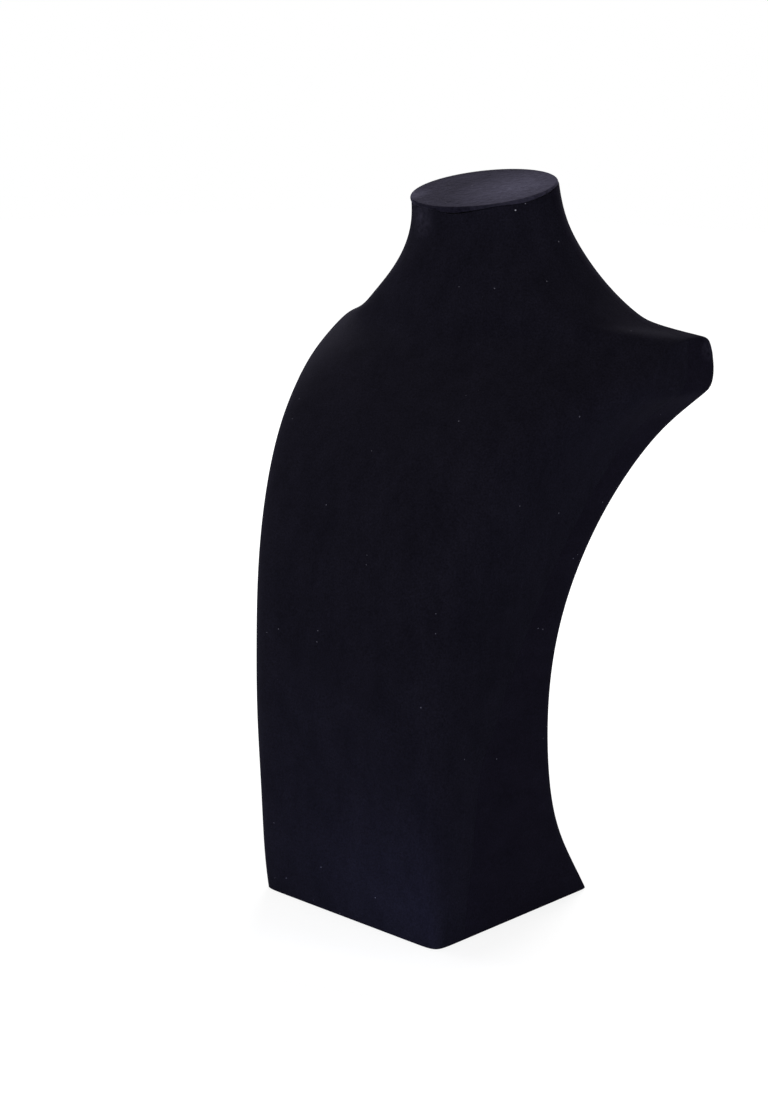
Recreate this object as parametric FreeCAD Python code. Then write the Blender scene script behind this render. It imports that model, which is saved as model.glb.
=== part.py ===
import math
import os

import FreeCAD
import Part

V = FreeCAD.Vector

# Driving sizes in mm. The bust faces -Y, its shoulders run along X and it stands on z = 0.
height = 400.0
shoulder_width = 235.0
base_width = 130.0
base_depth = 130.0
neck_width = 89.2
neck_depth = 67.2
neck_tilt = 16.8
neck_back = 37.2
neck_rise = 90.0
velvet = 1.5
wall = 4.0
hem = 13.0
felt = 0.8
felt_inset = 4.0
base_board = 9.0
board_play = 0.3
ledge = 4.0
neck_board = 4.0
rolled_edge = 2.0
shoulder_rounding = 3.0

# How finely the moulded form is divided.
ring_points = 52
level_count = 24

shoulder_level = height - neck_rise
tilt = math.radians(neck_tilt)
across_slope = V(0, math.cos(tilt), math.sin(tilt))
neck_normal = V(0, -math.sin(tilt), math.cos(tilt))
neck_centre = V(0, neck_back, height - neck_depth / 2 * math.sin(tilt))
cover = velvet + neck_board
reach = height + shoulder_width

# Level as a share of the shoulder level, drop of the sides, flare from base to shoulder width,
# front, widest and back line in half base depths, squareness of the front and of the back.
trunk = [
    (0.000, 0.0, 0.011, -0.985, 0.000, 1.003, 16.0, 20.0),
    (0.113, 0.0, 0.036, -1.082, -0.026, 0.680, 12.0, 14.5),
    (0.258, 0.0, 0.080, -1.134, -0.085, 0.432, 9.0, 10.5),
    (0.419, 0.0, 0.141, -1.203, -0.086, 0.385, 6.0, 7.5),
    (0.581, -0.6, 0.234, -1.168, 0.074, 0.546, 5.3, 6.0),
    (0.726, -3.4, 0.392, -1.033, 0.425, 0.942, 4.6, 5.0),
    (0.839, -4.0, 0.615, -0.789, 0.854, 1.290, 3.95, 6.4),
    (0.935, 1.9, 1.009, -0.397, 1.199, 1.445, 3.0, 6.8),
    (1.000, 1.2, 1.323, -0.141, 1.311, 1.378, 1.75, 3.6),
]

# Level as a share of the neck rise, drop of the sides, flare from neck to shoulder width,
# front, widest and back line in half neck depths from the neck's centre, squareness as above.
neck = [
    (0.200, 9.8, 0.810, -1.194, 1.083, 1.398, 1.9, 1.85),
    (0.333, 17.8, 0.612, -1.091, 0.813, 1.353, 2.0, 2.15),
    (0.489, 10.4, 0.248, -1.008, 0.522, 1.269, 2.1, 2.5),
    (0.667, -1.6, 0.043, -0.906, 0.205, 1.198, 2.0, 2.0),
    (0.889, -5.8, 0.001, -0.988, -0.012, 1.012, 2.0, 2.0),
    (1.111, -0.8, -0.011, -1.077, -0.164, 0.961, 2.0, 2.0),
]

# Line of the side seam, as share of the height and distance behind the middle of the foot.
seam = [
    (-0.05, -43), (0, -42), (0.125, -38.5), (0.24, -37), (0.29, -27), (0.35, -18.5), (0.4125, -7.5),
    (0.475, 4), (0.55, 20), (0.625, 37.5), (0.6875, 53), (0.7375, 67), (0.795, 67), (0.85, 58.5),
    (0.98, 38), (1.075, 26),
]


def form_table():
    rows = []
    for level, drop, flare, front, widest, back, squareness, back_squareness in trunk:
        half = base_width / 2 + flare * (shoulder_width - base_width) / 2
        z = level * shoulder_level
        line = [y * base_depth / 2 for y in (front, widest, back)]
        rows.append([z, z - drop, half] + line + [squareness, back_squareness])
    for level, drop, flare, front, widest, back, squareness, back_squareness in neck:
        half = neck_width / 2 + flare * (shoulder_width - neck_width) / 2
        z = shoulder_level + level * neck_rise
        line = [neck_back + y * neck_depth / 2 for y in (front, widest, back)]
        rows.append([z, z - drop, half] + line + [squareness, back_squareness])
    foot, second = rows[0], rows[1]
    reach = 8 / (second[0] - foot[0])
    below = [f - reach * (s - f) for f, s in zip(foot, second)]
    return [below[:6] + foot[6:]] + rows


def smooth_rows(rows, count):
    steps = [0.0]
    for a, b in zip(rows, rows[1:]):
        first = (a[2], (a[3] + a[5]) / 2, (a[0] + a[1]) / 2)
        last = (b[2], (b[3] + b[5]) / 2, (b[0] + b[1]) / 2)
        steps.append(steps[-1] + math.dist(first, last) ** 0.7)
    steps = [s / steps[-1] for s in steps]
    columns = []
    for k in range(8):
        curve = Part.BSplineCurve()
        values = [row[k] if k < 6 else math.log(row[k]) for row in rows]
        curve.interpolate(Points=[V(v, 50.0 * i, 0) for i, v in enumerate(values)], Parameters=steps)
        columns.append(curve)
    smooth = []
    for i in range(count):
        row = [curve.value(i / (count - 1)).x for curve in columns]
        smooth.append(row[:6] + [math.exp(row[6]), math.exp(row[7])])
    return smooth


def ease_end(x):
    # The shoulder ends are flat with a rounded edge.
    start = shoulder_width / 2 - shoulder_rounding
    if abs(x) <= start:
        return x
    return math.copysign(start + shoulder_rounding * math.tanh((abs(x) - start) / shoulder_rounding), x)


def ring(row, count):
    centre, side, half, front, widest, back, squareness, back_squareness = row
    points = []
    for i in range(count):
        t = 2 * math.pi * i / count - math.pi / 2
        turn = t + 0.175 * math.sin(4 * t)
        ahead = math.sin(turn) < 0
        deep, power = (widest - front, squareness) if ahead else (back - widest, back_squareness)
        c, s = abs(math.cos(turn)), abs(math.sin(turn))
        r = (c ** power + s ** power) ** (-1 / power)
        x = 0.0 if i in (0, count // 2) else math.copysign(half * c * r, math.cos(turn))
        y = widest - deep * s * r if ahead else widest + deep * s * r
        points.append(V(ease_end(x), y, centre + (side - centre) * (x / half) ** 2))
    return points


def inset(grid, depth):
    if depth == 0:
        return grid
    count = len(grid[0])
    moved = []
    for j, row in enumerate(grid):
        above = grid[min(j + 1, len(grid) - 1)]
        below = grid[max(j - 1, 0)]
        line = []
        for i, p in enumerate(row):
            along = row[(i + 1) % count] - row[i - 1]
            normal = along.cross(above[i] - below[i]).normalize()
            line.append(p - normal * depth)
        moved.append(line)
    return moved


def closed(grid):
    # A closed solid of flat faces through rings of points, the first and last ring filled.
    count = len(grid[0])
    points = [p for row in grid for p in row]
    faces = []
    for j in range(len(grid) - 1):
        for i in range(count):
            a, b = j * count + i, j * count + (i + 1) % count
            c, d = b + count, a + count
            if (points[a] - points[c]).Length < (points[b] - points[d]).Length:
                faces += [(a, b, c), (a, c, d)]
            else:
                faces += [(a, b, d), (b, c, d)]
    for start, flip in ((0, True), ((len(grid) - 1) * count, False)):
        middle = V(0, 0, 0)
        for p in points[start:start + count]:
            middle += p * (1 / count)
        points.append(middle)
        hub = len(points) - 1
        for i in range(count):
            a, b = start + i, start + (i + 1) % count
            faces.append((hub, b, a) if flip else (hub, a, b))
    shape = Part.Shape()
    shape.makeShapeFromMesh((points, faces), 1e-4)
    solid = Part.makeSolid(shape.Shells[0])
    if solid.Volume < 0:
        solid.reverse()
    return solid


def outline(half_x, front, back, radius, z, tall):
    box = Part.makeBox(2 * half_x, back - front, tall, V(-half_x, front, z))
    upright = [e for e in box.Edges if abs(e.Vertexes[0].Z - e.Vertexes[1].Z) > tall / 2]
    return box.makeFillet(radius, upright)


def above_neck(depth):
    # Everything over the slanting plane that lies depth below the top of the neck.
    block = Part.makeBox(2 * reach, 2 * reach, reach, V(-reach, -reach, 0))
    block.rotate(V(0, 0, 0), V(1, 0, 0), neck_tilt)
    block.translate(neck_centre - neck_normal * depth)
    return block


def below(z):
    return Part.makeBox(2 * reach, 2 * reach, reach, V(-reach, -reach, z - reach))


def neck_ring(offset, depth, count=48):
    a, b = neck_width / 2 - offset, neck_depth / 2 - offset
    centre = neck_centre - neck_normal * depth
    turns = [2 * math.pi * i / count for i in range(count)]
    return [centre + V(a * math.cos(t), 0, 0) + across_slope * (b * math.sin(t)) for t in turns]


def size_at(rows, z):
    # Half width, front and back line of the form at a height.
    for a, b in zip(rows, rows[1:]):
        if a[0] <= z <= b[0]:
            share = (z - a[0]) / (b[0] - a[0])
            return [a[k] + share * (b[k] - a[k]) for k in (2, 3, 5)]


def hollow_grid(rows, foot_level):
    # The inside of the moulded shell, plainer and rounder than its outside, with a ledge over the board.
    skin = velvet + wall
    top = height - neck_depth * math.sin(tilt) - cover - 1.5 * wall
    chosen = []
    for level, rest in ((foot_level, ledge), (foot_level + wall, ledge), (foot_level + 4 * wall, 0)):
        half, front, back = size_at(rows, level)
        row = [level, level, half - skin - rest, front + skin + rest, rows[1][4], back - skin - rest]
        chosen.append(row + [8.0, 8.0])
    for a, row, b in zip(rows, rows[1:], rows[2:]):
        centre, side, half, front, widest, back, squareness, back_squareness = row
        if not foot_level + 7 * wall < centre < top:
            continue
        rise = b[0] - a[0]
        leans = [min(2.0, abs(b[k] - a[k]) / rise) for k in (2, 3, 5)]
        inward = [skin * math.hypot(1, lean) for lean in leans]
        narrow = half - inward[0]
        if centre > 0.9 * shoulder_level:
            narrow = min(narrow, neck_width / 2 - skin + 0.55 * (half - neck_width / 2))
        narrow = min(narrow, shoulder_width / 2 - 5 * wall)
        if centre > shoulder_level:
            # Under the slanting top of the shoulder the hollow keeps further forward.
            widest, back = widest - 2 * wall, back - wall
        drop = max(0.0, centre - side) * (narrow / half) ** 2
        line = [front + inward[1], widest, back - inward[2]]
        rounder = [max(2.0, 0.5 * squareness), max(2.0, 0.5 * back_squareness)]
        chosen.append([centre, centre - drop, narrow] + line + rounder)
    return [ring(row, 28) for row in chosen]


os.makedirs("parts", exist_ok=True)
rows = form_table()
fine_rows = smooth_rows(rows, level_count)
grid = [ring(row, ring_points) for row in fine_rows]
outer = closed(grid)
inner = closed(inset(grid, velvet))

board_level = felt + velvet
board_top = board_level + base_board
half_top, front_top, back_top = size_at(rows, board_top)
half_foot, front_foot, back_foot = size_at(rows, board_level)
skin = velvet + wall
seat_half = min(half_top, half_foot) - skin
seat_front = max(front_top, front_foot) + skin
seat_back = min(back_top, back_foot) - skin

# Moulded shell, open below where the board sits and closed at the neck.
hollow = closed(hollow_grid(fine_rows, board_top))
seat = outline(seat_half, seat_front, seat_back, 6, board_level - 1, base_board + 1)
bust_shell = inner.cut(below(board_level)).cut(above_neck(cover)).cut(hollow).cut(seat)

# Board in the foot, thinner round its edge where the velvet is turned under.
window = outline(base_width / 2 - hem, hem - base_depth / 2, base_depth / 2 - hem, 4, felt, velvet)
pad = outline(
    base_width / 2 - hem - board_play, hem + board_play - base_depth / 2,
    min(base_depth / 2 - hem, seat_back) - board_play, 4, felt, velvet + 1,
)
plate = outline(
    seat_half - board_play, seat_front + board_play, seat_back - board_play, 6, board_level, base_board,
)
base_board_shape = plate.fuse(pad).removeSplitter()

# Velvet over the whole form, turned under at the foot, parted along the side seams.
cloth = outer.cut(below(felt)).cut(above_neck(cover)).cut(inner.cut(below(board_level))).cut(window)
corners = [V(-reach, y, z * height) for z, y in seam]
corners += [V(-reach, -reach, seam[-1][0] * height), V(-reach, -reach, seam[0][0] * height)]
ahead = Part.Face(Part.makePolygon(corners + corners[:1])).extrude(V(2 * reach, 0, 0))
front_velvet = cloth.common(ahead)
back_velvet = cloth.cut(ahead)

# Oval board on the neck and its own cover with a rolled edge.
neck_board_shape = closed([
    neck_ring(velvet, cover), neck_ring(velvet, velvet + 0.8), neck_ring(velvet + 0.8, velvet),
]).removeSplitter()
cap = closed([
    neck_ring(0.7, cover), neck_ring(0.0, cover - 0.7), neck_ring(0.0, rolled_edge),
    neck_ring(0.3 * rolled_edge, 0.3 * rolled_edge), neck_ring(rolled_edge, 0),
]).removeSplitter()
neck_velvet = cap.cut(neck_board_shape)

base_felt = outline(
    base_width / 2 - felt_inset, felt_inset - base_depth / 2, base_depth / 2 - felt_inset, 5, 0, felt,
)

pieces = {
    "bust_shell": bust_shell,
    "base_board": base_board_shape,
    "front_velvet": front_velvet,
    "back_velvet": back_velvet,
    "neck_board": neck_board_shape,
    "neck_velvet": neck_velvet,
    "base_felt": base_felt,
}
for name, shape in pieces.items():
    solid = shape.Solids[0] if len(shape.Solids) == 1 else shape
    print(name, shape.isValid(), len(shape.Solids), len(shape.Faces), round(shape.Volume / 1000, 1))
    solid.exportStep(f"parts/{name}.step")
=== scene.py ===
import math

import bmesh
import bpy
import numpy as np
from mathutils import Matrix, Vector


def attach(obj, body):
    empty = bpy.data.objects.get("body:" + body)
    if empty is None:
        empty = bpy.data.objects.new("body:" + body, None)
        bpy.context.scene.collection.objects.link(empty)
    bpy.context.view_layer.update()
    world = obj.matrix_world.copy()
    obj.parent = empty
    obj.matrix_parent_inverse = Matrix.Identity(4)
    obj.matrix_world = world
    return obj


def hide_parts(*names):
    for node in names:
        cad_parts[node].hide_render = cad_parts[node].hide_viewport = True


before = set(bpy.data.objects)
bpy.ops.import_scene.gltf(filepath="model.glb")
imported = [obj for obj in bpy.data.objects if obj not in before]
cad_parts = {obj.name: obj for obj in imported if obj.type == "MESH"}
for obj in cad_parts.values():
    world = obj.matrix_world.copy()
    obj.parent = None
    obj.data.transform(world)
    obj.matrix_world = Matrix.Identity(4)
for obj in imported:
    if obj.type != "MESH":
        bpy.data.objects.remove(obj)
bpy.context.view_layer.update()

mm = 0.001  # in metres
perMetre = 1000  # millimetres in a metre, for the scales of patterns
tiny = 1e-9  # keeps a division away from zero

# Sizes in mm, as in the model the frame was packed from.
bust = {
    "height": 400.0, "shoulderWidth": 235.0, "baseWidth": 130.0, "baseDepth": 130.0,
    "neckWidth": 89.2, "neckDepth": 67.2, "neckTilt": 16.8, "neckBack": 37.2, "neckRise": 90.0,
    "felt": 0.8, "hem": 13.0, "shoulderRounding": 3.0,
}
tilt = math.radians(bust["neckTilt"])
neckAcross = np.array([1.0, 0.0, 0.0])
neckSlope = np.array([0.0, math.cos(tilt), math.sin(tilt)])
neckNormal = np.array([0.0, -math.sin(tilt), math.cos(tilt)])
neckLevel = bust["height"] - bust["neckDepth"] / 2 * math.sin(tilt)
neckCentre = np.array([0.0, bust["neckBack"], neckLevel])

# One ring of the form in each line: level as a share of the trunk or the neck, drop of the sides
# in mm, flare towards the shoulders, then front, widest and back line in half depths of the foot
# or the neck, and the squareness of the front and the back.
trunkRings = [
    (0.000, 0.0, 0.011, -0.985, 0.000, 1.003, 16.0, 20.0),
    (0.113, 0.0, 0.036, -1.082, -0.026, 0.680, 12.0, 14.5),
    (0.258, 0.0, 0.080, -1.134, -0.085, 0.432, 9.0, 10.5),
    (0.419, 0.0, 0.141, -1.203, -0.086, 0.385, 6.0, 7.5),
    (0.581, -0.6, 0.234, -1.168, 0.074, 0.546, 5.3, 6.0),
    (0.726, -3.4, 0.392, -1.033, 0.425, 0.942, 4.6, 5.0),
    (0.839, -4.0, 0.615, -0.789, 0.854, 1.290, 3.95, 6.4),
    (0.935, 1.9, 1.009, -0.397, 1.199, 1.445, 3.0, 6.8),
    (1.000, 1.2, 1.323, -0.141, 1.311, 1.378, 1.75, 3.6),
]
neckRings = [
    (0.200, 9.8, 0.810, -1.194, 1.083, 1.398, 1.9, 1.85),
    (0.333, 17.8, 0.612, -1.091, 0.813, 1.353, 2.0, 2.15),
    (0.489, 10.4, 0.248, -1.008, 0.522, 1.269, 2.1, 2.5),
    (0.667, -1.6, 0.043, -0.906, 0.205, 1.198, 2.0, 2.0),
    (0.889, -5.8, 0.001, -0.988, -0.012, 1.012, 2.0, 2.0),
    (1.111, -0.8, -0.011, -1.077, -0.164, 0.961, 2.0, 2.0),
]
# The form goes on below the ground by a few mm, so that the foot's edge isn't its end. Rings that
# lie close together take more of the spline's run than their distance, by the power "pace".
form = {"belowGround": 8.0, "pace": 0.7}

# Joint between the neck cover and the bust's velvet: depth below the top, and where it dips or
# rises round the neck, as angle, reach in degrees and amount. A slow and a quick wave, each as
# count round the neck and start, ripple it. Its gap gapes at two places and is pressed shut
# between them.
joint = {
    "depth": 2.0,
    "dips": [
        (-84.0, 13.0, 1.2), (-47.0, 12.0, -0.75), (-23.0, 13.0, 0.45), (12.0, 20.0, -0.75)],
    "ripple": 0.06, "slow": (5.0, 0.8), "quick": (11.0, 2.0), "quickShare": 0.6,
    "gap": 0.35, "gapes": [(-78.0, 15.0, 0.4), (-140.0, 20.0, 0.4)],
    "pinchedAt": -103.0, "pinch": 8.0, "pressed": 0.95,
}

# Seam between the front and the back panel: share of the height, and how far back it lies there.
seamLine = np.array([
    (-0.05, -43), (0, -42), (0.125, -38.5), (0.24, -37), (0.29, -27), (0.35, -18.5),
    (0.4125, -7.5), (0.475, 4), (0.55, 20), (0.625, 37.5), (0.6875, 53), (0.7375, 67),
    (0.795, 67), (0.85, 58.5), (0.98, 38), (1.075, 26),
]) * (bust["height"], 1)

# Velvet panels: how many points up and round half of each. Points are drawn closer together at
# the corners and where the cloth bends.
cloth = {
    "levels": 420, "rows": 170, "frontHalf": 96, "backHalf": 80, "thickness": 1.2,
    "turns": 1400, "cornerPull": 0.175, "bendWeight": 0.35,
}
# Edges of the velvet: rounded at the foot by the turns in degrees, then a hem that reaches the
# felt's level at the share "hemRise" of its way in.
edges = {
    "footRadius": 0.35, "footSquareness": (21.0, 38.0), "seamRadius": 0.2,
    "hemLevel": 0.35, "hemCorner": 6.0, "hemRise": 0.4,
    "hemTurns": (18, 36, 54, 72, 90), "hemShares": (0.15, 0.4, 0.7, 1.0),
}
edgeSteps = np.array([0.0, 0.04, 0.12, 0.24, 0.4, 0.7])  # mm in from a seam or the joint


def toLinear(hexColour):
    channels = [int(hexColour[i:i + 2], 16) / 255 for i in (1, 3, 5)]
    linear = [c / 12.92 if c <= 0.04045 else ((c + 0.055) / 1.055) ** 2.4 for c in channels]
    return (*linear, 1.0)


def addNode(tree, kind, settings=None, **links):
    # A setting that starts with in_ is a socket's value. A link is named by its socket, or by i
    # and the socket's number.
    node = tree.nodes.new(kind)
    for name, value in (settings or {}).items():
        if name.startswith("in_"):
            key = name[3:]
            key = int(key) if key.isdigit() else key.replace("_", " ")
            node.inputs[key].default_value = value
        else:
            setattr(node, name, value)
    for name, source in links.items():
        numbered = name[0] == "i" and name[1:].isdigit()
        key = int(name[1:]) if numbered else name.replace("_", " ")
        tree.links.new(source, node.inputs[key])
    return node


def clampedSpline(steps, values, at):
    # Cubic through the values; the end slopes are those of the cubic through the last four.
    h = np.diff(steps)
    first = np.polyfit(steps[:4] - steps[0], values[:4], 3)[-2]
    last = np.polyfit(steps[-4:] - steps[-1], values[-4:], 3)[-2]
    n = len(steps)
    grid, right = np.zeros((n, n)), np.zeros(n)
    slopes = np.diff(values) / h
    grid[0, :2] = 2 * h[0], h[0]
    right[0] = 6 * (slopes[0] - first)
    grid[-1, -2:] = h[-1], 2 * h[-1]
    right[-1] = 6 * (last - slopes[-1])
    for i in range(1, n - 1):
        grid[i, i - 1:i + 2] = h[i - 1], 2 * (h[i - 1] + h[i]), h[i]
        right[i] = 6 * (slopes[i] - slopes[i - 1])
    curve = np.linalg.solve(grid, right)
    k = np.clip(np.searchsorted(steps, at, side="right") - 1, 0, n - 2)
    a, b = steps[k + 1] - at, at - steps[k]
    bowed = (curve[k] * a ** 3 + curve[k + 1] * b ** 3) / (6 * h[k])
    before = (values[k] / h[k] - curve[k] * h[k] / 6) * a
    after = (values[k + 1] / h[k] - curve[k + 1] * h[k] / 6) * b
    return bowed + before + after


def formRows(count):
    # Each row: level at the middle and at the sides, half width, front, widest, back line, and
    # the squareness of front and back, which is smoothed by its logarithm.
    rows = []
    shoulderLevel = bust["height"] - bust["neckRise"]
    for level, drop, flare, front, widest, back, ahead, behind in trunkRings:
        half = bust["baseWidth"] / 2 + flare * (bust["shoulderWidth"] - bust["baseWidth"]) / 2
        z = level * shoulderLevel
        line = [v * bust["baseDepth"] / 2 for v in (front, widest, back)]
        rows.append([z, z - drop, half] + line + [ahead, behind])
    for level, drop, flare, front, widest, back, ahead, behind in neckRings:
        half = bust["neckWidth"] / 2 + flare * (bust["shoulderWidth"] - bust["neckWidth"]) / 2
        z = shoulderLevel + level * bust["neckRise"]
        line = [bust["neckBack"] + v * bust["neckDepth"] / 2 for v in (front, widest, back)]
        rows.append([z, z - drop, half] + line + [ahead, behind])
    rows = np.array(rows)
    rows[0, 6:] = edges["footSquareness"]
    below = rows[0] - form["belowGround"] / rows[1, 0] * (rows[1] - rows[0])
    below[6:] = rows[0, 6:]
    rows = np.vstack([below, rows])
    middle, heart = (rows[:, 3] + rows[:, 5]) / 2, (rows[:, 0] + rows[:, 1]) / 2
    centres = np.stack([rows[:, 2], middle, heart], 1)
    apart = np.linalg.norm(np.diff(centres, axis=0), axis=1) ** form["pace"]
    steps = np.concatenate([[0], np.cumsum(apart)])
    steps /= steps[-1]
    rows[:, 6:] = np.log(rows[:, 6:])
    at = np.linspace(0, 1, count)
    smooth = np.stack([clampedSpline(steps, column, at) for column in rows.T], 1)
    smooth[:, 6:] = np.exp(smooth[:, 6:])
    return smooth


def ringPoints(row, turns):
    centre, side, half, front, widest, back, ahead, behind = row
    isFront = np.sin(turns) < 0
    power = np.where(isFront, ahead, behind)
    deep = np.where(isFront, widest - front, back - widest)
    c, s = np.abs(np.cos(turns)), np.abs(np.sin(turns))
    r = (c ** power + s ** power) ** (-1 / power)
    x = half * c * r
    y = widest + np.where(isFront, -1, 1) * deep * s * r
    z = centre + (side - centre) * (x / half) ** 2
    rounding = bust["shoulderRounding"]
    start = bust["shoulderWidth"] / 2 - rounding
    x = np.where(x <= start, x, start + rounding * np.tanh((x - start) / rounding))
    return np.stack([x, y, z], 1)


def spread(path, count, edge, atStart):
    # Points along a path, closer together where it bends, with a few next to one end.
    steps = np.linalg.norm(np.diff(path, axis=0), axis=1)
    along = np.concatenate([[0], np.cumsum(steps)])
    heading = np.unwrap(np.arctan2(np.diff(path[:, 1]), np.diff(path[:, 0])))
    bend = np.abs(np.concatenate([[0], np.diff(heading)]))
    weight = np.cumsum(steps / along[-1] + cloth["bendWeight"] * bend)
    weight = np.concatenate([[0], weight])
    weight /= weight[-1]
    inner = np.interp(np.linspace(0, 1, count), weight, along)
    inner = inner * (1 - edge[-1] / along[-1])
    if atStart:
        places = np.concatenate([edge[:-1], edge[-1] + inner])
    else:
        places = np.concatenate([inner, along[-1] - edge[:-1][::-1]])
    return np.stack([np.interp(places, along, path[:, k]) for k in range(3)], 1)


def halfPanels(levels, frontCount, backCount):
    # Each ring of the right half is cut where it crosses the seam.
    fine = np.linspace(-math.pi / 2, math.pi / 2, cloth["turns"])
    turns = fine + cloth["cornerPull"] * np.sin(4 * fine)
    fronts, backs = [], []
    for row in formRows(levels):
        points = ringPoints(row, turns)
        points[0, 0] = points[-1, 0] = 0
        gap = points[:, 1] - np.interp(points[:, 2], seamLine[:, 0], seamLine[:, 1])
        k = int(np.argmax(gap > 0))
        share = gap[k - 1] / (gap[k - 1] - gap[k])
        meet = points[k - 1] + share * (points[k] - points[k - 1])
        fronts.append(spread(np.vstack([points[:k], meet]), frontCount, edgeSteps, False))
        backs.append(spread(np.vstack([meet, points[k:]]), backCount, edgeSteps, True))
    return np.array(fronts), np.array(backs)


def mirrored(panel):
    return panel * np.array([-1.0, 1.0, 1.0])


def jointDepth(angle):
    (slowCount, slowStart), (quickCount, quickStart) = joint["slow"], joint["quick"]
    waves = np.sin(slowCount * angle + slowStart)
    waves = waves + joint["quickShare"] * np.sin(quickCount * angle + quickStart)
    depth = joint["depth"] + joint["ripple"] * waves
    for at, reach, amount in joint["dips"]:
        sharp = 2 / math.radians(reach) ** 2
        depth = depth + amount * np.exp(sharp * (np.cos(angle - math.radians(at)) - 1))
    return depth


def jointGap(angle):
    turn = np.degrees(angle)
    wider = sum(extra * np.exp(-((turn - at) / reach) ** 2) for at, reach, extra in joint["gapes"])
    shut = np.exp(-((turn - joint["pinchedAt"]) / joint["pinch"]) ** 2)
    return (joint["gap"] + wider) * (1 - joint["pressed"] * shut)


def neckAngle(points):
    away = points - neckCentre
    up, across = away @ neckSlope, away @ neckAcross
    return np.arctan2(up / bust["neckDepth"], across / bust["neckWidth"])


def trimmed(panel, count):
    # Each column runs from just above the foot's rounded edge up to the joint.
    below = edges["hemLevel"] + edges["footRadius"]
    out = np.zeros((count, panel.shape[1], 3))
    shares = np.linspace(0, 1, count - len(edgeSteps) + 1)
    for i in range(panel.shape[1]):
        column = panel[:, i]
        low = int(np.argmax(column[:, 2] > below))
        start = low - (column[low, 2] - below) / (column[low, 2] - column[low - 1, 2])
        angle = neckAngle(column)
        over = (column - neckCentre) @ neckNormal + jointDepth(angle) + jointGap(angle)
        high = int(np.argmax(over > 0))
        end = high - over[high] / (over[high] - over[high - 1])
        index = np.arange(len(column))
        pace = abs(np.interp(end, index, over) - np.interp(end - 1, index, over))
        stop = end - edgeSteps[-1] / pace
        top = end - edgeSteps[:-1][::-1] / pace
        places = np.concatenate([start + (stop - start) * shares, top])
        out[:, i] = np.stack([np.interp(places, index, column[:, k]) for k in range(3)], 1)
    return out


def gridNormals(panel):
    along = np.gradient(panel, axis=1)
    up = np.gradient(panel, axis=0)
    normal = np.cross(along, up)
    return normal / np.maximum(np.linalg.norm(normal, axis=2), tiny)[:, :, None]


def rolledEdges(panel):
    # The cut edges turn in by a small radius along both seams.
    normals = gridNormals(panel)
    depth = np.zeros(panel.shape[:2])
    for k, step in enumerate(edgeSteps):
        low = max(0.0, edges["seamRadius"] - step)
        turned = edges["seamRadius"] - math.sqrt(edges["seamRadius"] ** 2 - low ** 2)
        depth[:, k] = depth[:, -1 - k] = turned
    return panel - normals * depth[:, :, None]


def withHem(panel):
    # Rounded under at the foot, then flat inwards below the board.
    rim = panel[0]
    along = np.gradient(rim, axis=0)
    outward = np.stack([along[:, 1], -along[:, 0], np.zeros(len(rim))], 1)
    outward /= np.linalg.norm(outward, axis=1)[:, None]
    n = len(edgeSteps)
    outward[:n], outward[-n:] = outward[n], outward[-n - 1]
    radius = edges["footRadius"]
    rows = []
    for turn in np.radians(edges["hemTurns"]):
        row = rim - outward * radius * (1 - math.cos(turn))
        row[:, 2] = edges["hemLevel"] + radius * (1 - math.sin(turn))
        rows.append(row)
    reach = bust["baseWidth"] / 2 - bust["hem"] - edges["hemCorner"]
    start = rows[-1].copy()
    core = np.clip(start[:, :2], -reach, reach)
    away = start[:, :2] - core
    away /= np.maximum(np.linalg.norm(away, axis=1), tiny)[:, None]
    target = core + away * edges["hemCorner"]
    for share in edges["hemShares"]:
        row = start.copy()
        row[:, :2] = start[:, :2] * (1 - share) + target * share
        risen = min(1.0, share / edges["hemRise"])
        row[:, 2] += (bust["felt"] - edges["hemLevel"]) * risen
        rows.append(row)
    return np.concatenate([np.array(rows[::-1]), panel])


def gridMesh(name, panel, wrap=False):
    rows, columns = panel.shape[:2]
    index = np.arange(rows * columns).reshape(rows, columns)
    if wrap:
        index = np.hstack([index, index[:, :1]])
    corners = [index[:-1, :-1], index[:-1, 1:], index[1:, 1:], index[1:, :-1]]
    faces = np.stack(corners, -1).reshape(-1, 4)
    mesh = bpy.data.meshes.new(name)
    mesh.from_pydata((panel.reshape(-1, 3) * mm).tolist(), [], faces.tolist())
    mesh.polygons.foreach_set("use_smooth", [True] * len(mesh.polygons))
    mesh.update()
    piece = bpy.data.objects.new(name, mesh)
    bpy.context.scene.collection.objects.link(piece)
    return piece


def applied(piece):
    # The evaluated result becomes a plain mesh.
    evaluated = piece.evaluated_get(bpy.context.evaluated_depsgraph_get())
    mesh = bpy.data.meshes.new_from_object(evaluated)
    piece.modifiers.clear()
    piece.data = mesh
    mesh.name = piece.name
    return piece


def thickened(piece, thickness):
    wall = piece.modifiers.new("Thickness", "SOLIDIFY")
    wall.thickness = thickness * mm
    wall.offset = -1
    wall.use_quality_normals = True
    return applied(piece)


frontHalf, backHalf = halfPanels(cloth["levels"], cloth["frontHalf"], cloth["backHalf"])
frontPanel = np.concatenate([mirrored(frontHalf)[:, :0:-1], frontHalf], axis=1)
backPanel = np.concatenate([backHalf, mirrored(backHalf)[:, -2::-1]], axis=1)
panels = {}
for name, panel in (("frontVelvet", frontPanel), ("backVelvet", backPanel)):
    panels[name] = withHem(rolledEdges(trimmed(panel, cloth["rows"])))
print("panels", {k: v.shape for k, v in panels.items()})


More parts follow.
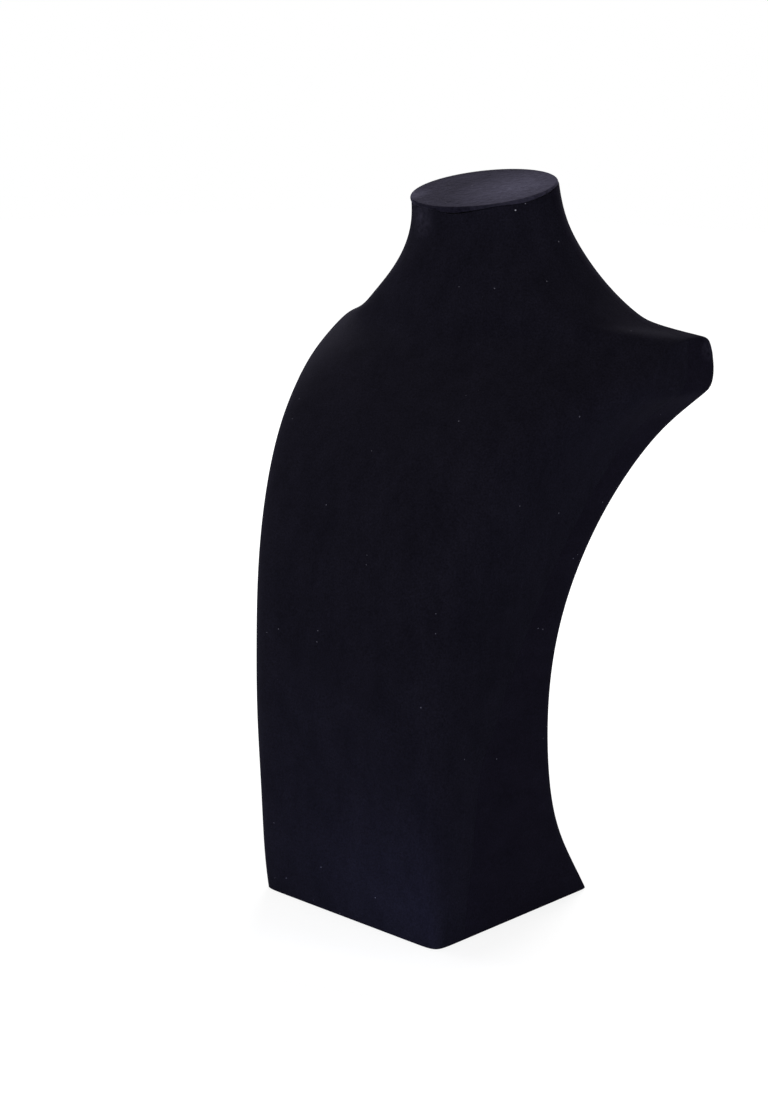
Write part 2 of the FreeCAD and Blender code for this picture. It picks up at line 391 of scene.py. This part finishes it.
# Velvet: a woven ground with a dense cut pile. Light goes down between the fibres, so it is
# almost black face on and paler at a glancing angle. Lint catches on it. A few places are
# painted paler: in part worn where hands rub it, in part painted highlight and sheen.
def velvetMaterial(name, look):
    material = bpy.data.materials.new(name)
    material.use_nodes = True
    tree = material.node_tree
    tree.nodes.clear()
    place = addNode(tree, "ShaderNodeTexCoord").outputs["Object"]
    pile = addNode(tree, "ShaderNodeTexNoise", {
        "in_Scale": perMetre / look["pileMm"], "in_Detail": 3.0, "in_Roughness": 0.7,
    }, Vector=place)
    nap = addNode(tree, "ShaderNodeTexNoise", {
        "in_Scale": perMetre / look["napMm"], "in_Detail": 5.0, "in_Roughness": 0.6,
        "in_Distortion": 0.6,
    }, Vector=place)
    brushed = addNode(tree, "ShaderNodeMapping", {"in_Scale": look["stroke"]}, Vector=place)
    stroke = addNode(tree, "ShaderNodeTexNoise", {
        "in_Scale": perMetre / look["strokeMm"], "in_Detail": 4.0, "in_Roughness": 0.6,
    }, Vector=brushed.outputs["Vector"])
    colour = addNode(tree, "ShaderNodeValToRGB", Fac=pile.outputs["Fac"])
    deep, tip = colour.color_ramp.elements
    deep.position, tip.position = look["colourAt"]
    deep.color, tip.color = toLinear(look["deep"]), toLinear(look["tip"])
    # Nap and strokes shade the pile; the two noises add up to about 1.
    both = addNode(tree, "ShaderNodeMath", {
        "operation": "ADD"}, i0=nap.outputs["Fac"], i1=stroke.outputs["Fac"])
    shade = addNode(tree, "ShaderNodeMapRange", {
        "in_From_Min": look["napReach"][0], "in_From_Max": look["napReach"][1],
        "in_To_Min": 1 - look["napSpread"], "in_To_Max": 1 + look["napSpread"],
    }, Value=both.outputs["Value"])
    tinted = addNode(tree, "ShaderNodeVectorMath", {
        "operation": "SCALE"}, i0=colour.outputs["Color"], Scale=shade.outputs["Result"])
    # Places painted paler, as centre and radius in mm, ragged at their edge: in part wear, in part
    # painted highlight and sheen.
    wearAndHighlight = None
    ragged = addNode(tree, "ShaderNodeTexNoise", {
        "in_Scale": perMetre / look["raggedMm"], "in_Detail": 4.0, "in_Roughness": 0.7,
    }, Vector=place)
    ragged = addNode(tree, "ShaderNodeMapRange", {
        "in_From_Min": look["raggedReach"][0], "in_From_Max": look["raggedReach"][1],
        "in_To_Min": look["evenness"],
    }, Value=ragged.outputs["Fac"])
    for centre, radius in look["wearAndHighlightSpots"]:
        away = addNode(tree, "ShaderNodeVectorMath", {
            "operation": "DISTANCE", "in_1": [v * mm for v in centre]}, i0=place)
        near = addNode(tree, "ShaderNodeMapRange", {
            "in_From_Min": radius * mm, "in_From_Max": 0.0, "in_To_Min": 0.0, "in_To_Max": 1.0,
        }, Value=away.outputs["Value"])
        patch = addNode(tree, "ShaderNodeMath", {
            "operation": "MULTIPLY"}, i0=near.outputs["Result"], i1=ragged.outputs["Result"])
        wearAndHighlight = patch if wearAndHighlight is None else addNode(tree, "ShaderNodeMath", {
            "operation": "MAXIMUM"}, i0=wearAndHighlight.outputs["Value"], i1=patch.outputs["Value"])
    paler = addNode(tree, "ShaderNodeMix", {
        "data_type": "RGBA", "in_7": toLinear(look["wearAndHighlightColour"]),
    }, i0=wearAndHighlight.outputs["Value"], i6=tinted.outputs["Vector"])
    # Lint: a few fibres caught in the pile, under a millimetre long.
    cells = addNode(tree, "ShaderNodeTexVoronoi", {
        "in_Scale": perMetre / look["lintMm"]}, Vector=place)
    small = addNode(tree, "ShaderNodeMath", {
        "operation": "LESS_THAN", "in_1": look["lintSize"] / look["lintMm"],
    }, i0=cells.outputs["Distance"])
    parts = addNode(tree, "ShaderNodeSeparateColor", Color=cells.outputs["Color"])
    few = addNode(tree, "ShaderNodeMath", {
        "operation": "LESS_THAN", "in_1": look["lintShare"]}, i0=parts.outputs["Red"])
    lint = addNode(tree, "ShaderNodeMath", {
        "operation": "MULTIPLY"}, i0=small.outputs["Value"], i1=few.outputs["Value"])
    specked = addNode(tree, "ShaderNodeMix", {
        "data_type": "RGBA", "in_7": toLinear(look["lintColour"]),
    }, i0=lint.outputs["Value"], i6=paler.outputs[2])
    for centre, radius in look["fluff"]:
        away = addNode(tree, "ShaderNodeVectorMath", {
            "operation": "DISTANCE", "in_1": [v * mm for v in centre]}, i0=place)
        spot = addNode(tree, "ShaderNodeMath", {
            "operation": "LESS_THAN", "in_1": radius * mm}, i0=away.outputs["Value"])
        specked = addNode(tree, "ShaderNodeMix", {
            "data_type": "RGBA", "in_7": toLinear(look["fluffColour"]),
        }, i0=spot.outputs["Value"], i6=specked.outputs[2])
    height = addNode(tree, "ShaderNodeMath", {
        "operation": "MULTIPLY_ADD", "in_1": look["strokeHeight"],
    }, i0=stroke.outputs["Fac"], i2=pile.outputs["Fac"])
    bump = addNode(tree, "ShaderNodeBump", {
        "in_Strength": look["bump"], "in_Distance": look["bumpMm"] * mm,
    }, Height=height.outputs["Value"])
    surface = addNode(tree, "ShaderNodeBsdfPrincipled", {
        "in_Roughness": look["roughness"], "in_Specular_IOR_Level": look["specular"],
        "in_Sheen_Weight": look["sheen"], "in_Sheen_Roughness": look["sheenRoughness"],
        "in_Sheen_Tint": toLinear(look["sheenTint"]),
    }, Base_Color=specked.outputs[2], Normal=bump.outputs["Normal"])
    addNode(tree, "ShaderNodeOutputMaterial", Surface=surface.outputs["BSDF"])
    return material


# Real tufts are about 0.3 mm apart, too fine to show in the render, so the pile is drawn at
# 0.9 mm, as coarse as it needs to show. Its nap lies in patches of 30 mm and strokes of 9 mm.
pileLook = {
    "pileMm": 0.9, "deep": "#09080c", "tip": "#1a1922", "colourAt": (0.2, 0.8),
    "napMm": 30.0, "napSpread": 0.16, "napReach": (0.7, 1.3),
    "strokeMm": 9.0, "stroke": (1.0, 1.0, 0.35), "strokeHeight": 0.9,
    "bump": 0.2, "bumpMm": 0.4, "roughness": 0.95, "specular": 0.0,
    "sheen": 0.038, "sheenRoughness": 0.35, "sheenTint": "#efeaff",
    "raggedMm": 100 / 33, "raggedReach": (0.36, 0.64), "evenness": 0.0,
    # Pale spots by the neck's left side and on both shoulder ends' top corners: painted highlight
    # where light catches them, with some wear.
    "wearAndHighlightSpots": [((-20, 11, 374), 13), ((117, 86, 311), 9), ((-117, 86, 311), 9)],
    "wearAndHighlightColour": "#292731",
    "lintMm": 5.0, "lintSize": 0.3, "lintShare": 0.1, "lintColour": "#5e5c66",
    "fluff": [((37.0, 20.5, 379.9), 0.4)], "fluffColour": "#8e8d94",
}
frontCloth = velvetMaterial("Cut-pile velvet, nap down", pileLook)
# The back panel, which takes in the sides, has a slightly darker tip than the front: in part the
# other lie of its nap, in part painted shade on the sides, which face away from the light.
backCloth = velvetMaterial("Cut-pile velvet, nap across", {
    **pileLook, "stroke": (0.4, 0.4, 1.0), "tip": "#181620"})
# The cover's pile is brushed up by handling: shorter strokes and uneven. Its paler tip and pale
# patches are painted sheen, the glancing light on its top, with some wear.
coverCloth = velvetMaterial("Cut-pile velvet, brushed up, with painted sheen", {
    **pileLook, "tip": "#1f1d29", "napMm": 9.0, "napSpread": 0.45,
    "strokeMm": 3.0, "stroke": (0.8, 1.0, 1.0), "strokeHeight": 3.6, "bump": 0.3,
    "sheen": 0.1, "sheenTint": "#e6e0ff", "evenness": 0.45,
    # The broad pale patch over the right of the top and the two small ones: painted sheen, with
    # some wear.
    "wearAndHighlightSpots": [((22, 40, 392), 38), ((30, 44, 393), 14), ((-38, 20, 385), 13)],
    "wearAndHighlightColour": "#444251",
})


frontVelvet = thickened(gridMesh("frontVelvet", panels["frontVelvet"]), cloth["thickness"])
backVelvet = thickened(gridMesh("backVelvet", panels["backVelvet"]), cloth["thickness"])
for piece, material, node in (
        (frontVelvet, frontCloth, "front_velvet"), (backVelvet, backCloth, "back_velvet")):
    piece.data.materials.clear()
    piece.data.materials.append(material)
    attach(piece, "root")
    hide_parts(node)

# Oval cover for the neck, made by rule: a band up from the joint, a roll, and the flat top inside
# it. The shares say how far up the grid's rows the tuck, the band and the roll end.
cover = {
    "around": 320, "rows": 64, "thickness": 1.1, "roll": 1.1, "dish": 0.1, "dishWidth": 0.14,
    "tuck": 0.15, "tuckShare": 0.07, "bandShare": 0.19, "rollShare": 0.5, "weld": 0.01,
}
oval = bpy.data.node_groups.new("Oval cover", "GeometryNodeTree")
coverSizes = {
    "Half width": bust["neckWidth"] / 2, "Half depth": bust["neckDepth"] / 2,
    "Roll": cover["roll"], "Dish": cover["dish"], "Joint depth": joint["depth"],
    "Ripple": joint["ripple"], "Tuck": cover["tuck"],
}
for at, reach, amount in joint["dips"]:
    coverSizes[f"Dip at {at:.0f}"] = amount
sockets = {}
for name, value in coverSizes.items():
    socket = oval.interface.new_socket(name, in_out="INPUT", socket_type="NodeSocketFloat")
    socket.default_value = value
    sockets[name] = socket.identifier
oval.interface.new_socket("Geometry", in_out="OUTPUT", socket_type="NodeSocketGeometry")
given = addNode(oval, "NodeGroupInput").outputs
flat = addNode(oval, "GeometryNodeMeshGrid", {
    "in_Size_X": 1.0, "in_Size_Y": 1.0,
    "in_Vertices_X": cover["around"] + 1, "in_Vertices_Y": cover["rows"] + 1})
spot = addNode(oval, "GeometryNodeInputPosition")
spot = addNode(oval, "ShaderNodeSeparateXYZ", Vector=spot.outputs["Position"])
turn = addNode(oval, "ShaderNodeMapRange", {
    "in_From_Min": -0.5, "in_From_Max": 0.5, "in_To_Min": 0.0, "in_To_Max": 2 * math.pi,
}, Value=spot.outputs["X"]).outputs["Result"]
rise = addNode(oval, "ShaderNodeMath", {
    "operation": "ADD", "in_1": 0.5}, i0=spot.outputs["Y"]).outputs[0]
# Depth of the joint round the oval, as jointDepth gives it for the panels.
level = given["Joint depth"]
for at, reach, amount in joint["dips"]:
    sharp = 2 / math.radians(reach) ** 2
    lagged = addNode(oval, "ShaderNodeMath", {
        "operation": "SUBTRACT", "in_1": math.radians(at)}, i0=turn)
    lean = addNode(oval, "ShaderNodeMath", {"operation": "COSINE"}, i0=lagged.outputs[0])
    lean = addNode(oval, "ShaderNodeMath", {
        "operation": "MULTIPLY_ADD", "in_1": sharp, "in_2": -sharp}, i0=lean.outputs[0])
    near = addNode(oval, "ShaderNodeMath", {"operation": "EXPONENT"}, i0=lean.outputs[0])
    level = addNode(oval, "ShaderNodeMath", {
        "operation": "MULTIPLY_ADD",
    }, i0=near.outputs[0], i1=given[f"Dip at {at:.0f}"], i2=level).outputs[0]
waves = []
for count, start in (joint["slow"], joint["quick"]):
    wave = addNode(oval, "ShaderNodeMath", {
        "operation": "MULTIPLY_ADD", "in_1": count, "in_2": start}, i0=turn)
    wave = addNode(oval, "ShaderNodeMath", {"operation": "SINE"}, i0=wave.outputs[0])
    waves.append(wave.outputs[0])
ripple = addNode(oval, "ShaderNodeMath", {
    "operation": "MULTIPLY_ADD", "in_1": joint["quickShare"]}, i0=waves[1], i2=waves[0])
edge = addNode(oval, "ShaderNodeMath", {
    "operation": "MULTIPLY_ADD"}, i0=ripple.outputs[0], i1=given["Ripple"], i2=level)
# Band, roll and top, one after the other as the grid's rows go up and in.
band = addNode(oval, "ShaderNodeMapRange", {
    "in_From_Max": cover["bandShare"],
}, Value=rise, To_Min=edge.outputs[0], To_Max=given["Roll"])
bend = addNode(oval, "ShaderNodeMapRange", {
    "in_From_Min": cover["bandShare"], "in_From_Max": cover["rollShare"],
    "in_To_Max": math.pi / 2,
}, Value=rise)
sine = addNode(oval, "ShaderNodeMath", {"operation": "SINE"}, i0=bend.outputs["Result"])
cosine = addNode(oval, "ShaderNodeMath", {"operation": "COSINE"}, i0=bend.outputs["Result"])
lift = addNode(oval, "ShaderNodeMath", {
    "operation": "MULTIPLY"}, i0=sine.outputs[0], i1=given["Roll"])
depth = addNode(oval, "ShaderNodeMath", {
    "operation": "SUBTRACT"}, i0=band.outputs["Result"], i1=lift.outputs[0])
inward = addNode(oval, "ShaderNodeMapRange", {"in_From_Min": cover["rollShare"]}, Value=rise)
dish = addNode(oval, "ShaderNodeMapRange", {
    "interpolation_type": "SMOOTHERSTEP", "in_From_Max": cover["dishWidth"],
}, Value=inward.outputs["Result"], To_Max=given["Dish"])
depth = addNode(oval, "ShaderNodeMath", {
    "operation": "ADD"}, i0=depth.outputs[0], i1=dish.outputs["Result"])
down = addNode(oval, "ShaderNodeMath", {
    "operation": "MULTIPLY", "in_1": -1.0}, i0=depth.outputs[0])
tuck = addNode(oval, "ShaderNodeMapRange", {
    "interpolation_type": "SMOOTHSTEP", "in_From_Max": cover["tuckShare"], "in_To_Max": 0.0,
}, Value=rise, To_Min=given["Tuck"])
away = addNode(oval, "ShaderNodeMath", {
    "operation": "SUBTRACT", "in_0": 1.0}, i1=cosine.outputs[0])
inset = addNode(oval, "ShaderNodeMath", {
    "operation": "MULTIPLY_ADD",
}, i0=away.outputs[0], i1=given["Roll"], i2=tuck.outputs["Result"])
shrink = addNode(oval, "ShaderNodeMath", {
    "operation": "SUBTRACT", "in_0": 1.0}, i1=inward.outputs["Result"])
sides = []
for half, wave in (("Half width", "COSINE"), ("Half depth", "SINE")):
    reach = addNode(oval, "ShaderNodeMath", {
        "operation": "SUBTRACT"}, i0=given[half], i1=inset.outputs[0])
    reach = addNode(oval, "ShaderNodeMath", {
        "operation": "MULTIPLY"}, i0=reach.outputs[0], i1=shrink.outputs[0])
    swing = addNode(oval, "ShaderNodeMath", {"operation": wave}, i0=turn)
    sides.append(addNode(oval, "ShaderNodeMath", {
        "operation": "MULTIPLY"}, i0=reach.outputs[0], i1=swing.outputs[0]).outputs[0])
point = addNode(oval, "ShaderNodeCombineXYZ", X=sides[0], Y=sides[1], Z=down.outputs[0])
point = addNode(oval, "ShaderNodeVectorMath", {
    "operation": "SCALE", "in_Scale": mm}, i0=point.outputs["Vector"])
shaped = addNode(
    oval, "GeometryNodeSetPosition",
    Geometry=flat.outputs["Mesh"], Position=point.outputs["Vector"])
closed = addNode(oval, "GeometryNodeMergeByDistance", {
    "in_Distance": cover["weld"] * mm}, Geometry=shaped.outputs["Geometry"])
placed = addNode(oval, "GeometryNodeTransform", {
    "in_Translation": [v * mm for v in neckCentre], "in_Rotation": (tilt, 0, 0),
}, Geometry=closed.outputs["Geometry"])
soft = addNode(oval, "GeometryNodeSetShadeSmooth", Geometry=placed.outputs["Geometry"])
whole = addNode(oval, "GeometryNodeRealizeInstances", Geometry=soft.outputs["Geometry"])
clothed = addNode(oval, "GeometryNodeSetMaterial", {
    "in_Material": coverCloth}, Geometry=whole.outputs["Geometry"])
addNode(oval, "NodeGroupOutput", Geometry=clothed.outputs["Geometry"])

neckVelvet = bpy.data.objects.new("neckVelvet", bpy.data.meshes.new("neckVelvet"))
bpy.context.scene.collection.objects.link(neckVelvet)
shaping = neckVelvet.modifiers.new("Oval cover", "NODES")
shaping.node_group = oval
for name, value in coverSizes.items():
    shaping[sockets[name]] = value
applied(neckVelvet)
thickened(neckVelvet, cover["thickness"])
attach(neckVelvet, "root")
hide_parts("neck_velvet")


# A matt solid or sheet with an even grain in its colour and its surface.
def grainedMaterial(name, look):
    material = bpy.data.materials.new(name)
    material.use_nodes = True
    tree = material.node_tree
    tree.nodes.clear()
    place = addNode(tree, "ShaderNodeTexCoord").outputs["Object"]
    grain = addNode(tree, "ShaderNodeTexNoise", {
        "in_Scale": perMetre / look["grainMm"], "in_Detail": look["detail"],
        "in_Roughness": look["grainRoughness"], "in_Distortion": look["distortion"],
    }, Vector=place)
    colour = addNode(tree, "ShaderNodeValToRGB", Fac=grain.outputs["Fac"])
    dark, light = colour.color_ramp.elements
    dark.position, light.position = look["colourAt"]
    dark.color, light.color = toLinear(look["dark"]), toLinear(look["light"])
    bump = addNode(tree, "ShaderNodeBump", {
        "in_Strength": look["bump"], "in_Distance": look["bumpMm"] * mm,
    }, Height=grain.outputs["Fac"])
    surface = addNode(tree, "ShaderNodeBsdfPrincipled", {
        "in_Roughness": look["roughness"], "in_Specular_IOR_Level": look["specular"],
        "in_Sheen_Weight": look["sheen"], "in_Sheen_Roughness": 0.5,
    }, Base_Color=colour.outputs["Color"], Normal=bump.outputs["Normal"])
    addNode(tree, "ShaderNodeOutputMaterial", Surface=surface.outputs["BSDF"])
    return material


# Felt under the foot: rings of points from its edge in to a small core, which is filled.
felt = {
    "inset": 4.0, "corner": 5.0, "thickness": bust["felt"],
    "cornerPoints": 9, "rings": 14, "core": 0.02, "coreReach": 10.0,
}
half = bust["baseWidth"] / 2 - felt["inset"]
ring = []
for corner in range(4):
    for turn in np.linspace(0, math.pi / 2, felt["cornerPoints"]):
        way = corner * math.pi / 2
        core = np.array([math.cos(way) - math.sin(way), math.sin(way) + math.cos(way)])
        core = core * (half - felt["corner"])
        ring.append(core + felt["corner"] * np.array([math.cos(way + turn), math.sin(way + turn)]))
ring = np.array(ring)
sheet = np.zeros((felt["rings"], len(ring), 3))
for k, share in enumerate(np.linspace(1, felt["core"], felt["rings"])):
    sheet[k, :, :2] = ring * share
sheet[:, :, 2] = felt["thickness"]
footFelt = gridMesh("footFelt", sheet, wrap=True)
filled = bmesh.new()
filled.from_mesh(footFelt.data)
rim = [e for e in filled.edges if e.is_boundary and e.verts[0].co.length < felt["coreReach"] * mm]
bmesh.ops.holes_fill(filled, edges=rim)
filled.to_mesh(footFelt.data)
filled.free()
thickened(footFelt, felt["thickness"])
# Felt of pressed wool fibres, matt and slightly uneven. The fibres are too fine to show, so their
# tangle is drawn at 1.4 mm, as coarse as it needs to show.
footFelt.data.materials.append(grainedMaterial("Pressed wool felt", {
    "grainMm": 1.4, "detail": 5.0, "grainRoughness": 0.75, "distortion": 1.2,
    "dark": "#0d0d0f", "light": "#26262a", "colourAt": (0.35, 0.7), "bump": 0.5, "bumpMm": 0.3,
    "roughness": 0.98, "specular": 0.1, "sheen": 0.12,
}))
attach(footFelt, "root")
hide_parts("base_felt")

# What the cloth hides. The real grains are too fine to show in the render and are drawn as coarse
# as they need to show where such a piece is looked at by itself.
plainLook = {
    "detail": 4.0, "grainRoughness": 0.65, "distortion": 0.0, "colourAt": (0.35, 0.7),
    "bumpMm": 0.2, "specular": 0.4, "sheen": 0.0,
}
inner = {
    # Moulded, so it has the mould's fine grain and a dull gloss.
    "bust_shell": ("Moulded polystyrene, black", {
        **plainLook, "grainMm": 1.5, "dark": "#0c0c0d", "light": "#1b1b1d", "bump": 0.3,
        "roughness": 0.6}),
    # Sanded, so it is matt, with fibres in two browns.
    "base_board": ("Sanded fibreboard", {
        **plainLook, "grainMm": 0.8, "dark": "#6b5237", "light": "#9a7c57", "bump": 0.25,
        "roughness": 0.85}),
    # Black, so that no pale edge shows through the joint under the cover: a black board behind the
    # gap, painted shade that darkens the joint line.
    "neck_board": ("Fibreboard, black as painted shade", {
        **plainLook, "grainMm": 0.8, "dark": "#070708", "light": "#0f0f11", "bump": 0.25,
        "roughness": 0.9, "specular": 0.05}),
}
for node, (name, look) in inner.items():
    carried = bpy.data.objects[node]
    carried.data.materials.clear()
    carried.data.materials.append(grainedMaterial(name, look))
print("inner parts", list(inner))

# Camera where the photo's was: angles in degrees, places in metres.
shot = {
    "azimuth": 41.803, "heading": 43.148, "distance": 1.09655, "height": 0.42806,
    "tilt": 11.962, "roll": 0.667, "lens": 67.21, "sensor": 36.0, "farthest": 50.0,
}
camera = bpy.data.objects.new("Camera", bpy.data.cameras.new("Camera"))
bpy.context.scene.collection.objects.link(camera)
azimuth, heading, down, roll = (
    math.radians(shot[k]) for k in ("azimuth", "heading", "tilt", "roll"))
forward = Vector((
    -math.sin(heading) * math.cos(down), math.cos(heading) * math.cos(down), -math.sin(down)))
level = Vector((math.cos(heading), math.sin(heading), 0))
right = level * math.cos(roll) + level.cross(forward) * math.sin(roll)
turned = Matrix((right, right.cross(forward), -forward)).transposed().to_4x4()
away = shot["distance"]
place = Vector((away * math.sin(azimuth), -away * math.cos(azimuth), shot["height"]))
camera.matrix_world = Matrix.Translation(place) @ turned
camera.data.lens = shot["lens"]
camera.data.sensor_width = shot["sensor"]
camera.data.clip_end = shot["farthest"]
bpy.context.scene.camera = camera

# Pale table and studio, seen by the camera as plain white; near the foot a painted shadow dims
# its glow, and it keeps a faint real shadow. Each lamp: place, size in metres and power.
studio = {
    "size": 12.0, "table": "#dfe4f4", "shade": (0.22, 0.22, 0.22, 1), "paintedShadowGlow": 0.82,
    "shadowNear": 0.09, "shadowFar": 0.4, "ambient": 0.26, "aim": 0.28,
    "lamps": {
        "back": ((-0.9, 1.7, 1.7), (1.4, 1.0), 50.0),
        "left": ((-2.2, -0.6, 1.0), (1.2, 1.6), 27.0),
        "front": ((0.4, -2.4, 1.4), (1.6, 1.6), 27.0),
        "right": ((2.3, -0.4, 1.2), (1.2, 1.6), 21.0),
        "card": ((0.055, -0.135, 0.006), (0.17, 0.006), 0.07),
    },
    "cardColour": "#c4d2ff",
}


def seenByCamera(tree):
    # 1 for what the camera sees, straight on, in gloss or through glass.
    seen = addNode(tree, "ShaderNodeLightPath").outputs
    direct = addNode(tree, "ShaderNodeMath", {
        "operation": "MAXIMUM"}, i0=seen["Is Camera Ray"], i1=seen["Is Glossy Ray"])
    return addNode(tree, "ShaderNodeMath", {
        "operation": "MAXIMUM",
    }, i0=direct.outputs[0], i1=seen["Is Transmission Ray"]).outputs[0]


def whiteToCamera(name):
    material = bpy.data.materials.new(name)
    material.use_nodes = True
    tree = material.node_tree
    tree.nodes.clear()
    direct = seenByCamera(tree)
    paper = addNode(tree, "ShaderNodeBsdfDiffuse", {"in_Color": toLinear(studio["table"])})
    dim = addNode(tree, "ShaderNodeBsdfDiffuse", {"in_Color": studio["shade"]})
    place = addNode(tree, "ShaderNodeTexCoord").outputs["Object"]
    away = addNode(tree, "ShaderNodeVectorMath", {"operation": "LENGTH"}, i0=place)
    # Painted shadow: the table's glow is turned down near the foot.
    level = addNode(tree, "ShaderNodeMapRange", {
        "in_From_Min": studio["shadowNear"], "in_From_Max": studio["shadowFar"],
        "in_To_Min": studio["paintedShadowGlow"], "in_To_Max": 1.0,
    }, Value=away.outputs["Value"])
    glow = addNode(tree, "ShaderNodeEmission", {
        "in_Color": (1, 1, 1, 1)}, Strength=level.outputs["Result"])
    bright = addNode(tree, "ShaderNodeAddShader", i0=dim.outputs[0], i1=glow.outputs[0])
    mix = addNode(
        tree, "ShaderNodeMixShader", i0=direct, i1=paper.outputs[0], i2=bright.outputs[0])
    addNode(tree, "ShaderNodeOutputMaterial", Surface=mix.outputs["Shader"])
    return material


floorMesh = bpy.data.meshes.new("floor")
half = studio["size"] / 2
corners = [(-half, -half, 0), (half, -half, 0), (half, half, 0), (-half, half, 0)]
floorMesh.from_pydata(corners, [], [(0, 1, 2, 3)])
floor = bpy.data.objects.new("floor", floorMesh)
bpy.context.scene.collection.objects.link(floor)
floorMesh.materials.append(whiteToCamera("Pale table"))

world = bpy.data.worlds.new("studio")
bpy.context.scene.world = world
world.use_nodes = True
sky = world.node_tree
sky.nodes.clear()
direct = seenByCamera(sky)
ambient = addNode(sky, "ShaderNodeBackground", {
    "in_Color": (1, 1, 1, 1), "in_Strength": studio["ambient"]})
white = addNode(sky, "ShaderNodeBackground", {"in_Color": (1, 1, 1, 1), "in_Strength": 1.0})
mix = addNode(sky, "ShaderNodeMixShader", i0=direct, i1=ambient.outputs[0], i2=white.outputs[0])
addNode(sky, "ShaderNodeOutputWorld", Surface=mix.outputs["Shader"])

for name, (place, size, power) in studio["lamps"].items():
    lamp = bpy.data.lights.new(name, "AREA")
    lamp.shape = "RECTANGLE"
    lamp.size, lamp.size_y = size
    lamp.energy = power
    softbox = bpy.data.objects.new(name, lamp)
    bpy.context.scene.collection.objects.link(softbox)
    softbox.location = place
    target = Vector((0, 0, min(studio["aim"], place[2])))
    softbox.rotation_euler = (target - Vector(place)).to_track_quat("-Z", "Y").to_euler()
    softbox.visible_camera = False
    if name == "card":
        lamp.color = toLinear(studio["cardColour"])[:3]
print("studio lamps", list(studio["lamps"]))
bpy.context.scene.view_settings.view_transform = "Standard"
